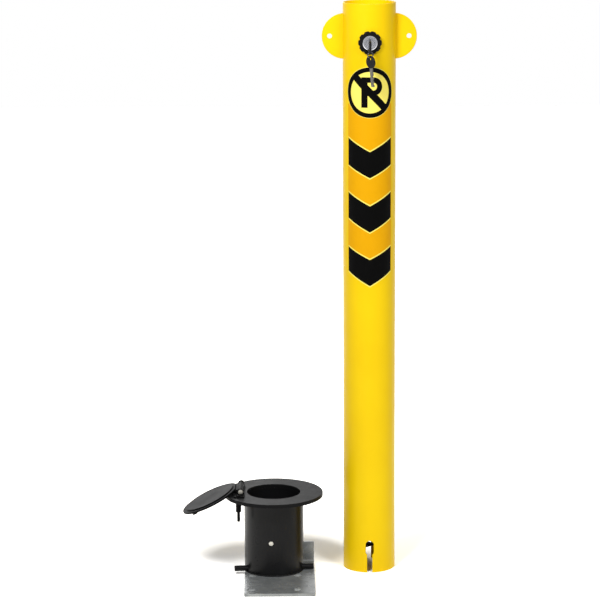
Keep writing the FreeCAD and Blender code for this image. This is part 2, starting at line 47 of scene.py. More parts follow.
class Coat(Enum):
    """The finishes that the object's pieces are given."""

    YELLOW_PAINT = "yellow gloss paint"
    BLACK_PAINT = "black satin paint"
    BLACK_ZINC = "black finish of the lock's ring"
    # The flange's level top is made lighter by the dust mix: partly dust, partly painted light from above.
    FLANGE_TOP = "black paint of the flange, dulled by dust"
    LID_BLACK = "dull black of the lid's rim and hinge"
    # A grey that stands for painted glare on the middle of the lid's black inner face.
    LID_GREY = "grey primer of the lid's inner face"
    GALVANISED = "hot dip galvanised steel"
    ZINC = "bright zinc plate"
    FASTENER = "dull zinc plate of bolts and pins"
    CHROME = "polished chrome"
    DARK_CHROME = "tarnished wire of the key ring"
    KEY_STEEL = "nickel plated key"
    KEY_PLASTIC = "moulded black key head"
    BLACK_FILM = "black marking film"
    AMBER_FILM = "amber marking film"
    PALE_FILM = "pale marking film"


def srgb(red: int, green: int, blue: int) -> Colour:
    """Turns an 8 bit display colour into the linear one that shaders take.

    Args:
        red: red level, 0 to 255.
        green: green level, 0 to 255.
        blue: blue level, 0 to 255.

    Returns:
        The same colour in linear light.
    """
    def level(value: int) -> float:
        """Turns one channel into linear light.

        Args:
            value: the level, 0 to 255.

        Returns:
            The level in linear light.
        """
        share = value / 255
        return share / 12.92 if share <= 0.04045 else ((share + 0.055) / 1.055) ** 2.4
    return level(red), level(green), level(blue)


class NodeTree:
    """A material's nodes, with short calls for the few kinds that the finishes use."""

    def __init__(self, name: str) -> None:
        """Starts an empty material with its surface shader and object coordinates.

        Args:
            name: the material's name.
        """
        self.material = bpy.data.materials.new(name)
        self.material.use_nodes = True
        self.tree = self.material.node_tree
        self.tree.nodes.clear()
        self.shader = self.tree.nodes.new("ShaderNodeBsdfPrincipled")
        output = self.tree.nodes.new("ShaderNodeOutputMaterial")
        self.link(self.shader.outputs["BSDF"], output.inputs["Surface"])
        self.place = self.tree.nodes.new("ShaderNodeTexCoord").outputs["Object"]

    def link(self, source: bpy.types.NodeSocket, target: bpy.types.NodeSocket) -> None:
        """Joins two sockets.

        Args:
            source: an output.
            target: the input that it feeds.
        """
        self.tree.links.new(source, target)

    def constant(self, **values: float | Colour) -> None:
        """Sets values on the surface shader's own sockets.

        Args:
            values: socket names, with underscores for spaces, and their values.
        """
        for key, value in values.items():
            socket = self.shader.inputs[key.replace("_", " ")]
            socket.default_value = (*value, 1.0) if isinstance(value, tuple) else value

    def noise(self, scale: float, detail: float = 3.0, rough: float = 0.55,
              stretch: Colour = (1.0, 1.0, 1.0)) -> bpy.types.NodeSocket:
        """Adds fractal noise in the row frame.

        Args:
            scale: waves per metre.
            detail: number of octaves.
            rough: how much the fine octaves show.
            stretch: scale factors along X, Y and Z.

        Returns:
            The noise's value socket.
        """
        mapping = self.tree.nodes.new("ShaderNodeMapping")
        mapping.inputs["Scale"].default_value = stretch
        self.link(self.place, mapping.inputs["Vector"])
        node = self.tree.nodes.new("ShaderNodeTexNoise")
        node.inputs["Scale"].default_value = scale
        node.inputs["Detail"].default_value = detail
        node.inputs["Roughness"].default_value = rough
        self.link(mapping.outputs["Vector"], node.inputs["Vector"])
        return node.outputs["Fac"]

    def cells(self, scale: float) -> bpy.types.NodeSocket:
        """Adds crystal cells of random level, such as a galvanised surface has.

        Args:
            scale: cells per metre.

        Returns:
            A socket with one random level for each cell.
        """
        node = self.tree.nodes.new("ShaderNodeTexVoronoi")
        node.inputs["Scale"].default_value = scale
        self.link(self.place, node.inputs["Vector"])
        split = self.tree.nodes.new("ShaderNodeSeparateColor")
        self.link(node.outputs["Color"], split.inputs["Color"])
        return split.outputs["Red"]

    def ramp(self, source: bpy.types.NodeSocket, low: float, high: float,
             start: float = 0.0, end: float = 1.0) -> bpy.types.NodeSocket:
        """Maps a value from one range to another, held at both ends.

        Args:
            source: the value to map.
            low: the value that gives start.
            high: the value that gives end.
            start: the result at low.
            end: the result at high.

        Returns:
            The mapped value's socket.
        """
        node = self.tree.nodes.new("ShaderNodeMapRange")
        for index, value in zip((1, 2, 3, 4), (low, high, start, end)):
            node.inputs[index].default_value = value
        self.link(source, node.inputs[0])
        return node.outputs[0]

    def level_dust_and_top_light(self, most: float) -> bpy.types.NodeSocket:
        """Finds the faces that look up, where dust lies and where light from above is painted.

        Args:
            most: the factor on a level face.

        Returns:
            A factor that is most on level faces and 0 on upright ones.
        """
        split = self.tree.nodes.new("ShaderNodeSeparateXYZ")
        self.link(self.tree.nodes.new("ShaderNodeNewGeometry").outputs["Normal"], split.inputs["Vector"])
        return self.ramp(split.outputs["Z"], 0.5, 0.95, 0.0, most)

    def times(self, first: bpy.types.NodeSocket, second: bpy.types.NodeSocket) -> bpy.types.NodeSocket:
        """Multiplies two values.

        Args:
            first: one value.
            second: the other.

        Returns:
            Their product's socket.
        """
        node = self.tree.nodes.new("ShaderNodeMath")
        node.operation = "MULTIPLY"
        self.link(first, node.inputs[0])
        self.link(second, node.inputs[1])
        return node.outputs[0]

    def edges(self, radius: float, low: float, high: float) -> bpy.types.NodeSocket:
        """Finds outer edges by comparing the bevelled normal with the true one.

        Args:
            radius: the width of the band that counts as an edge, in metres.
            low: the difference at which wear starts.
            high: the difference at which wear is full.

        Returns:
            A factor that is 1 on edges and 0 on open faces.
        """
        bevel = self.tree.nodes.new("ShaderNodeBevel")
        bevel.samples = 4
        bevel.inputs["Radius"].default_value = radius
        normal = self.tree.nodes.new("ShaderNodeNewGeometry").outputs["Normal"]
        dot = self.tree.nodes.new("ShaderNodeVectorMath")
        dot.operation = "DOT_PRODUCT"
        self.link(bevel.outputs["Normal"], dot.inputs[0])
        self.link(normal, dot.inputs[1])
        return self.ramp(dot.outputs["Value"], 1 - low, 1 - high)

    def mix(self, factor: bpy.types.NodeSocket, first: Colour | bpy.types.NodeSocket,
            second: Colour | bpy.types.NodeSocket) -> bpy.types.NodeSocket:
        """Mixes two colours.

        Args:
            factor: 0 gives the first, 1 the second.
            first: a linear colour or a socket.
            second: a linear colour or a socket.

        Returns:
            The mixed colour's socket.
        """
        node = self.tree.nodes.new("ShaderNodeMix")
        node.data_type = "RGBA"
        self.link(factor, node.inputs[0])
        for socket, value in ((node.inputs[6], first), (node.inputs[7], second)):
            if isinstance(value, tuple):
                socket.default_value = (*value, 1.0)
            else:
                self.link(value, socket)
        return node.outputs[2]

    def bump(self, source: bpy.types.NodeSocket, depth: float,
             under: bpy.types.NodeSocket | None = None) -> bpy.types.NodeSocket:
        """Adds relief to the surface.

        Args:
            source: the relief's height, 0 to 1.
            depth: how deep the relief is, in metres.
            under: another relief that this one lies on.

        Returns:
            The relief's normal socket, already joined to the shader.
        """
        node = self.tree.nodes.new("ShaderNodeBump")
        node.inputs["Strength"].default_value = 1.0
        node.inputs["Distance"].default_value = depth
        self.link(source, node.inputs["Height"])
        if under is not None:
            self.link(under, node.inputs["Normal"])
        self.link(node.outputs["Normal"], self.shader.inputs["Normal"])
        return node.outputs["Normal"]


@dataclass(frozen=True)
class PaintFinish:
    """Sprayed or powder coated paint with orange peel, faint dirt, worn edges and, where set, a lighter mix
    on level faces that is partly dust and partly painted light from above.
    """

    colour: Colour
    shade: Colour
    worn: Colour
    roughness: float = 0.25
    spread: float = 0.10
    gloss_coat: float = 0.0
    peel_scale: float = 260.0
    peel_depth: float = 0.00006
    wear: float = 0.6
    speckle: float = 0.0
    specular: float = 0.5
    # How much level faces are mixed towards the worn colour: partly dust, partly painted light from above.
    dust: float = 0.0
    cloud_scale: float = 9.0
    grime_scale: float = 60.0
    chip_scale: float = 420.0
    chip_width: float = 0.0012
    speckle_scale: float = 900.0
    sheen_scale: float = 35.0
    fine_peel_scale: float = 2600.0
    fine_peel_share: float = 0.12

    def dress(self, name: str) -> bpy.types.Material:
        """Builds the material.

        Args:
            name: the material's name.

        Returns:
            The finished material.
        """
        nodes = NodeTree(name)
        nodes.constant(Coat_Weight=self.gloss_coat, Coat_Roughness=0.08, Specular_IOR_Level=self.specular)
        cloud = nodes.ramp(nodes.noise(self.cloud_scale, 4.0), 0.35, 0.70)
        paint = nodes.mix(cloud, self.colour, self.shade)
        grime = nodes.ramp(nodes.noise(self.grime_scale, 6.0, 0.7), 0.60, 0.80, 0.0, 0.35 * self.wear)
        paint = nodes.mix(grime, paint, self.shade)
        chips = nodes.times(nodes.edges(self.chip_width, 0.10, 0.35),
                            nodes.ramp(nodes.noise(self.chip_scale, 5.0, 0.7), 0.48, 0.62))
        strength = nodes.ramp(chips, 0.0, 1.0, 0.0, self.wear)
        # Level faces are mixed towards the worn colour: partly dust, partly painted light from above.
        if self.dust:
            paint = nodes.mix(nodes.level_dust_and_top_light(self.dust), paint, self.worn)
        if self.speckle:
            dust = nodes.ramp(nodes.noise(self.speckle_scale, 3.0, 0.8), 0.66, 0.78, 0.0, self.speckle)
            paint = nodes.mix(dust, paint, self.worn)
        nodes.link(nodes.mix(strength, paint, self.worn), nodes.shader.inputs["Base Color"])
        rough = nodes.ramp(nodes.noise(self.sheen_scale, 5.0, 0.65), 0.3, 0.7,
                           self.roughness - self.spread / 2, self.roughness + self.spread / 2)
        nodes.link(rough, nodes.shader.inputs["Roughness"])
        peel = nodes.bump(nodes.noise(self.peel_scale, 2.0, 0.4), self.peel_depth)
        nodes.bump(nodes.noise(self.fine_peel_scale, 2.0, 0.5), self.peel_depth * self.fine_peel_share, peel)
        return nodes.material


@dataclass(frozen=True)
class MetalFinish:
    """Bare or plated metal with fine scratches, stains and, where set, crystal cells."""

    bright: Colour
    dull: Colour
    roughness: float = 0.3
    spread: float = 0.12
    cell_scale: float = 0.0
    brush: Colour = (1.0, 1.0, 1.0)
    brush_scale: float = 700.0
    brush_depth: float = 0.00002
    stain: float = 0.4
    metallic: float = 1.0
    level_scale: float = 120.0
    stain_scale: float = 45.0
    dent_scale: float = 60.0
    dent_share: float = 4.0

    def dress(self, name: str) -> bpy.types.Material:
        """Builds the material.

        Args:
            name: the material's name.

        Returns:
            The finished material.
        """
        nodes = NodeTree(name)
        nodes.constant(Metallic=self.metallic)
        level = nodes.cells(self.cell_scale) if self.cell_scale else nodes.noise(self.level_scale, 4.0)
        metal = nodes.mix(nodes.ramp(level, 0.1, 0.9), self.dull, self.bright)
        stains = nodes.ramp(nodes.noise(self.stain_scale, 6.0, 0.7), 0.52, 0.75, 0.0, self.stain)
        nodes.link(nodes.mix(stains, metal, self.dull), nodes.shader.inputs["Base Color"])
        half = self.spread / 2
        nodes.link(nodes.ramp(level, 0.2, 0.8, self.roughness + half, self.roughness - half),
                   nodes.shader.inputs["Roughness"])
        brushed = nodes.bump(nodes.noise(self.brush_scale, 3.0, 0.6, self.brush), self.brush_depth)
        nodes.bump(nodes.noise(self.dent_scale, 3.0, 0.5), self.brush_depth * self.dent_share, brushed)
        return nodes.material


@dataclass(frozen=True)
class PlasticFinish:
    """Moulded plastic or adhesive film with a fine grain and handling marks."""

    colour: Colour
    rubbed: Colour
    roughness: float = 0.45
    grain_scale: float = 1800.0
    grain_depth: float = 0.00002
    specular: float = 0.5
    rub_scale: float = 80.0
    sheen_scale: float = 140.0

    def dress(self, name: str) -> bpy.types.Material:
        """Builds the material.

        Args:
            name: the material's name.

        Returns:
            The finished material.
        """
        nodes = NodeTree(name)
        nodes.constant(Specular_IOR_Level=self.specular)
        rubs = nodes.ramp(nodes.noise(self.rub_scale, 6.0, 0.7), 0.50, 0.80, 0.0, 0.6)
        nodes.link(nodes.mix(rubs, self.colour, self.rubbed), nodes.shader.inputs["Base Color"])
        rough = nodes.ramp(nodes.noise(self.sheen_scale, 4.0), 0.3, 0.7,
                           self.roughness - 0.06, self.roughness + 0.08)
        nodes.link(rough, nodes.shader.inputs["Roughness"])
        nodes.bump(nodes.noise(self.grain_scale, 2.0, 0.5), self.grain_depth)
        return nodes.material


FINISHES: dict[Coat, PaintFinish | MetalFinish | PlasticFinish] = {
    Coat.YELLOW_PAINT: PaintFinish(srgb(250, 211, 12), srgb(246, 204, 9), srgb(196, 160, 40), 0.36, 0.08,
                                   wear=0.2, specular=0.12),
    Coat.BLACK_PAINT: PaintFinish(srgb(19, 19, 20), srgb(13, 13, 14), srgb(80, 79, 77), 0.30, 0.08,
                                  wear=0.35, speckle=0.05, specular=0.12),
    # The flange's dust mix lightens its level top: partly dust, partly painted light from above.
    Coat.FLANGE_TOP: PaintFinish(srgb(20, 20, 21), srgb(15, 15, 16), srgb(104, 104, 103), 0.42, 0.10,
                                 wear=0.3, speckle=0.06, specular=0.05, dust=0.02),
    Coat.LID_BLACK: PaintFinish(srgb(12, 12, 13), srgb(8, 8, 9), srgb(60, 60, 60), 0.5, 0.12, wear=0.3,
                                specular=0.04),
    Coat.BLACK_ZINC: PaintFinish(srgb(14, 14, 15), srgb(10, 10, 11), srgb(70, 70, 72), 0.38, 0.12, wear=0.4,
                                 specular=0.12),
    # Painted glare: the grey on the middle of the lid's black inner face.
    Coat.LID_GREY: PaintFinish(srgb(44, 44, 44), srgb(37, 37, 38), srgb(88, 88, 86), 0.55, 0.12, wear=0.3,
                               speckle=0.10, specular=0.06),
    Coat.GALVANISED: MetalFinish(srgb(150, 153, 153), srgb(130, 133, 134), 0.30, 0.06, 90.0,
                                 brush_depth=0.000002, stain=0.15, metallic=0.45),
    Coat.ZINC: MetalFinish(srgb(214, 208, 184), srgb(176, 170, 150), 0.30, 0.12),
    Coat.FASTENER: MetalFinish(srgb(196, 194, 186), srgb(140, 138, 132), 0.32, 0.12),
    Coat.CHROME: MetalFinish(srgb(238, 239, 244), srgb(204, 206, 214), 0.12, 0.06, stain=0.3,
                             brush_depth=0.000006),
    Coat.DARK_CHROME: MetalFinish(srgb(104, 104, 110), srgb(54, 54, 60), 0.20, 0.08, brush_depth=0.000012),
    Coat.KEY_STEEL: MetalFinish(srgb(128, 126, 120), srgb(92, 90, 86), 0.28, 0.12,
                                brush=(0.2, 1.0, 4.0), brush_scale=1500.0),
    Coat.KEY_PLASTIC: PlasticFinish(srgb(15, 15, 16), srgb(28, 28, 30), 0.45, specular=0.15),
    Coat.BLACK_FILM: PlasticFinish(srgb(6, 6, 6), srgb(12, 12, 12), 0.55, 900.0, 0.00001, 0.03),
    Coat.AMBER_FILM: PlasticFinish(srgb(232, 168, 4), srgb(226, 160, 3), 0.40, 900.0, 0.00001, 0.1),
    Coat.PALE_FILM: PlasticFinish(srgb(252, 236, 110), srgb(250, 228, 96), 0.40, 900.0, 0.00001, 0.1),
}


class Paintshop:
    """Makes each finish once and puts it on pieces."""

    def __init__(self) -> None:
        """Starts with no finish made."""
        self.made: dict[Coat, bpy.types.Material] = {}

    def finish(self, coat: Coat) -> bpy.types.Material:
        """Finds the material of a finish, and makes it when first asked for.

        Args:
            coat: the finish.

        Returns:
            Its material.
        """
        if coat not in self.made:
            self.made[coat] = FINISHES[coat].dress(coat.name.lower())
        return self.made[coat]

    def dress(self, piece: bpy.types.Object, coat: Coat) -> None:
        """Puts one finish on all of a piece.

        Args:
            piece: a mesh object.
            coat: the finish.
        """
        piece.data.materials.clear()
        piece.data.materials.append(self.finish(coat))

    def dress_nodes(self, coats: dict[str, Coat]) -> None:
        """Puts finishes on carried-over solids.

        Args:
            coats: the finish of each solid, by its name.
        """
        for name, coat in coats.items():
            self.dress(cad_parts[name], coat)


def mesh_piece(name: str, bm: bmesh.types.BMesh, smooth: float = 35.0) -> bpy.types.Object:
    """Turns a built mesh into an object in the scene.

    Args:
        name: the piece's name.
        bm: the mesh in metres in the row frame; it is freed here.
        smooth: faces meeting at less than this angle, in degrees, are shaded as one.

    Returns:
        The new object.
    """
    bmesh.ops.recalc_face_normals(bm, faces=bm.faces)
    for edge in bm.edges:
        edge.smooth = not edge.is_manifold or edge.calc_face_angle(0.0) < math.radians(smooth)
    for face in bm.faces:
        face.smooth = True
    mesh = bpy.data.meshes.new(name)
    bm.to_mesh(mesh)
    bm.free()
    piece = bpy.data.objects.new(name, mesh)
    bpy.context.scene.collection.objects.link(piece)
    return piece


@dataclass
class Marking:
    """Marking films on the post's front: the crossed-out roundel and three chevrons."""

    shop: Paintshop
    post_radius: float = 44.45
    strip: float = 1.2
    film: float = 0.12
    ground_layer: float = 0.02
    pale_layer: float = 0.16
    chevron_layer: float = 0.18
    ring_layer: float = 0.30
    letter_layer: float = 0.32
    slash_layer: float = 0.34
    ring_steps: int = 72
    bowl_steps: int = 24
    disc_margin: float = 0.8
    amber_half: float = 41.5
    chevron_half: float = 40.5
    border: float = 2.3
    amber_sides: Point = (550.0, 813.0)
    amber_tip: float = 527.0
    roundel_height: float = 833.0
    ring_outer: float = 42.2
    ring_inner: float = 34.7
    slash_half: float = 6.0
    slash_angle: float = -46.0
    stem: tuple[float, float, float, float] = (-14.5, -4.0, 807.8, 858.6)
    bowl_low: float = 827.5
    bowl_right: float = 21.0
    stroke: float = 9.0
    chevrons: tuple[tuple[float, float, float, float], ...] = (
        (755.5, 733.0, 710.1, 688.9),
        (663.4, 641.2, 619.8, 596.7),
        (570.5, 549.6, 528.8, 504.7),
    )

    def wrapped(self, name: str, outlines: Iterable[Sequence[Point]], base: float,
                coat: Coat) -> bpy.types.Object:
        """Cuts flat outlines from film and wraps them round the post.

        Args:
            name: the piece's name.
            outlines: closed outlines as (arc length from the front, height), in millimetres.
            base: how far the film's inner face is from the post, in millimetres.
            coat: the film's finish.

        Returns:
            The wrapped film.
        """
        bm = bmesh.new()
        for outline in outlines:
            bm.faces.new([bm.verts.new((u, 0.0, z)) for u, z in outline])
        bmesh.ops.triangulate(bm, faces=bm.faces)
        low = min(v.co.x for v in bm.verts)
        high = max(v.co.x for v in bm.verts)
        for step in range(1, int((high - low) / self.strip) + 1):
            bmesh.ops.bisect_plane(bm, geom=bm.verts[:] + bm.edges[:] + bm.faces[:],
                                   plane_co=(low + step * self.strip, 0, 0), plane_no=(1, 0, 0))
        bmesh.ops.remove_doubles(bm, verts=bm.verts, dist=0.001)
        flat = bm.faces[:]
        raised = bmesh.ops.extrude_face_region(bm, geom=flat)["geom"]
        outer = {v for v in raised if isinstance(v, bmesh.types.BMVert)}
        for vert in bm.verts:
            radius = self.post_radius + base + (self.film if vert in outer else 0.0)
            turn = vert.co.x / self.post_radius
            vert.co = Vector((radius * math.sin(turn), -radius * math.cos(turn), vert.co.z)) * MM
        piece = mesh_piece(name, bm)
        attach(piece, POST_BODY)
        self.shop.dress(piece, coat)
        return piece

    def arc(self, radius: float, start: float, end: float, centre: Point, steps: int) -> list[Point]:
        """Finds points along an arc.

        Args:
            radius: the arc's radius.
            start: where it starts, in degrees.
            end: where it ends, in degrees.
            centre: its centre.
            steps: how many parts it is divided into.

        Returns:
            One point more than there are steps.
        """
        turns = [math.radians(start + (end - start) * k / steps) for k in range(steps + 1)]
        return [(centre[0] + radius * math.cos(t), centre[1] + radius * math.sin(t)) for t in turns]

    def band(self, outer: float, inner: float, start: float, end: float, centre: Point,
             steps: int) -> list[list[Point]]:
        """Returns the four-sided outlines that make up part of a ring.

        Args:
            outer: the ring's outer radius.
            inner: its inner radius.
            start: where it starts, in degrees.
            end: where it ends, in degrees.
            centre: its centre.
            steps: how many outlines it is made of.

        Returns:
            One outline for each step.
        """
        far = self.arc(outer, start, end, centre, steps)
        near = self.arc(inner, start, end, centre, steps)
        return [[far[k], far[k + 1], near[k + 1], near[k]] for k in range(steps)]

    def background(self) -> None:
        """Builds the amber film behind the chevrons and the roundel's pale disc."""
        half = self.amber_half
        low, high = self.amber_sides
        sides = [[(-half, low), (0, self.amber_tip), (0, high), (-half, high)],
                 [(half, low), (half, high), (0, high), (0, self.amber_tip)]]
        self.wrapped("amber_film", sides, self.ground_layer, Coat.AMBER_FILM)
        disc = self.arc(self.ring_outer + self.disc_margin, 0, 360, (0, self.roundel_height), self.ring_steps)
        self.wrapped("roundel_disc", [disc[:-1]], self.pale_layer, Coat.PALE_FILM)

    def roundel(self) -> None:
        """Builds the roundel's ring, its letter and the slash across them."""
        centre = (0.0, self.roundel_height)
        ring = self.band(self.ring_outer, self.ring_inner, 0, 360, centre, self.ring_steps)
        self.wrapped("roundel_ring", ring, self.ring_layer, Coat.BLACK_FILM)
        left, right, foot, top = self.stem
        mid = (top + self.bowl_low) / 2
        outer = (top - self.bowl_low) / 2
        turn_x = self.bowl_right - outer
        inner = outer - self.stroke
        letter = [[(left, foot), (right, foot), (right, top), (left, top)],
                  [(right, top - self.stroke), (turn_x, top - self.stroke), (turn_x, top), (right, top)],
                  [(right, self.bowl_low), (turn_x, self.bowl_low), (turn_x, self.bowl_low + self.stroke),
                   (right, self.bowl_low + self.stroke)]]
        letter += self.band(outer, inner, -90, 90, (turn_x, mid), self.bowl_steps)
        self.wrapped("roundel_letter", letter, self.letter_layer, Coat.BLACK_FILM)
        reach = (self.ring_outer + self.ring_inner) / 2
        turn = math.radians(self.slash_angle)
        along = Vector((math.cos(turn), math.sin(turn)))
        side = Vector((-along.y, along.x)) * self.slash_half
        corners = [along * reach + side, -along * reach + side, -along * reach - side, along * reach - side]
        slash = [(corner.x, corner.y + self.roundel_height) for corner in corners]
        self.wrapped("roundel_slash", [slash], self.slash_layer, Coat.BLACK_FILM)

    def arrows(self) -> None:
        """Builds the three chevrons that point down the post."""
        half = self.chevron_half
        wide = self.border
        for index, (top, notch, low, tip) in enumerate(self.chevrons):
            sides = [[(-half, top), (0, notch), (0, tip), (-half, low)],
                     [(half, top), (half, low), (0, tip), (0, notch)]]
            self.wrapped(f"chevron_{index + 1}", sides, self.chevron_layer, Coat.BLACK_FILM)
            lines = [[(side * half, edge + step), (0, middle + step), (0, middle + step + rise),
                      (side * half, edge + step + rise)]
                     for side in (-1, 1)
                     for edge, middle, step, rise in ((top, notch, 0.0, wide), (low, tip, -wide, wide))]
            self.wrapped(f"chevron_{index + 1}_border", lines, self.pale_layer, Coat.PALE_FILM)

    def build(self) -> None:
        """Builds all the films."""
        self.background()
        self.roundel()
        self.arrows()
        log.info("marking films: %d chevrons and a roundel", len(self.chevrons))


@dataclass
class WeldBead:
    """A rippled weld bead along a path, painted or galvanised with what it joins."""

    name: str
    path: Callable[[float], Vector]
    length: float
    radius: float = 1.6
    ripple: float = 0.12
    pitch: float = 1.9
    sides: int = 10
    smooth: float = 60.0
    look: float = 0.01
    end_size: float = 0.35
    end_growth: float = 6.0

    def build(self) -> bpy.types.Object:
        """Builds the bead as a closed rippled tube.

        Returns:
            The bead, not yet riding on a body.
        """
        steps = max(12, int(self.length / (self.pitch / 4)))
        bm = bmesh.new()
        rings = []
        for k in range(steps + 1):
            t = k / steps
            here = self.path(t)
            ahead = (self.path(min(t + self.look, 1.0)) - self.path(max(t - self.look, 0.0))).normalized()
            first = ahead.orthogonal().normalized()
            second = ahead.cross(first)
            wave = math.sin(2 * math.pi * t * self.length / self.pitch)
            taper = min(1.0, self.end_size + self.end_growth * min(t, 1 - t))
            radius = (self.radius + self.ripple * wave) * taper
            rings.append([bm.verts.new((here + radius * (math.cos(a) * first + math.sin(a) * second)) * MM)
                          for a in (2 * math.pi * s / self.sides for s in range(self.sides))])
        for one, two in zip(rings, rings[1:]):
            shift = min(range(self.sides), key=lambda s: (two[s].co - one[0].co).length)
            for s in range(self.sides):
                bm.faces.new((one[s], one[(s + 1) % self.sides], two[(s + 1 + shift) % self.sides],
                              two[(s + shift) % self.sides]))
        bm.faces.new(rings[0])
        bm.faces.new(rings[-1])
        return mesh_piece(self.name, bm, self.smooth)


@dataclass
class Post:
    """The yellow post with its eye plates, top plate and inner mechanism."""

    shop: Paintshop
    radius: float = 44.45
    ear_low: float = 888.0
    ear_high: float = 958.0
    ear_half: float = 2.5
    weld_radius: float = 0.9
    weld_ripple: float = 0.05
    weld_sink: float = 0.1
    weld_reach: float = 0.6
    coats: dict[str, Coat] = field(default_factory=lambda: {
        "post_tube": Coat.YELLOW_PAINT, "top_plate": Coat.YELLOW_PAINT, "ear_left": Coat.YELLOW_PAINT,
        "ear_right": Coat.YELLOW_PAINT, "upper_guide": Coat.ZINC, "lower_guide": Coat.ZINC,
        "rod_yoke": Coat.ZINC, "lock_rod": Coat.ZINC, "rod_pin": Coat.FASTENER, "latch_pivot": Coat.FASTENER,
        # The latch hook is given the lid's dull black so that it reads as the shade inside the post's foot:
        # painted shade.
        "latch_spacers": Coat.FASTENER, "latch_hook": Coat.LID_BLACK})

    def ear_welds(self) -> None:
        """Builds the weld beads along both faces of both eye plates."""
        for side, name in ((-1, "left"), (1, "right")):
            for face, place in ((-1, "front"), (1, "rear")):
                turn = math.asin((self.ear_half + self.weld_reach) / self.radius)
                x = side * (self.radius * math.cos(turn) - self.weld_sink)
                y = face * (self.ear_half + self.weld_sink)

                def path(t: float, x: float = x, y: float = y) -> Vector:
                    """Finds a point along the bead.

                    Args:
                        t: the share of the bead's length, 0 to 1.
                        x: the bead's place along X, in millimetres.
                        y: its place along Y, in millimetres.

                    Returns:
                        The point, in millimetres.
                    """
                    return Vector((x, y, self.ear_low + (self.ear_high - self.ear_low) * t))
                bead = WeldBead(f"ear_weld_{name}_{place}", path, self.ear_high - self.ear_low,
                                self.weld_radius, self.weld_ripple).build()
                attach(bead, POST_BODY)
                self.shop.dress(bead, Coat.YELLOW_PAINT)

    def build(self) -> None:
        """Dresses the post's solids and adds its welds and markings."""
        self.shop.dress_nodes(self.coats)
        self.ear_welds()
        Marking(self.shop).build()
        log.info("post: %d solids dressed", len(self.coats))


@dataclass
class Lock:
    """The cylinder lock with its keys and ring."""

    shop: Paintshop
    coats: dict[str, Coat] = field(default_factory=lambda: {
        "escutcheon": Coat.BLACK_ZINC, "lock_barrel": Coat.CHROME, "lock_plug": Coat.CHROME,
        "lock_nut": Coat.FASTENER, "lock_cam": Coat.ZINC, "cam_screw": Coat.FASTENER,
        "key_blade": Coat.KEY_STEEL, "key_bow": Coat.KEY_PLASTIC, "key_ring": Coat.DARK_CHROME,
        "spare_key_bow": Coat.KEY_PLASTIC, "spare_key_blade": Coat.KEY_STEEL})

    def build(self) -> None:
        """Dresses the lock, the keys and their ring."""
        self.shop.dress_nodes(self.coats)
        log.info("lock and keys: %d solids dressed", len(self.coats))


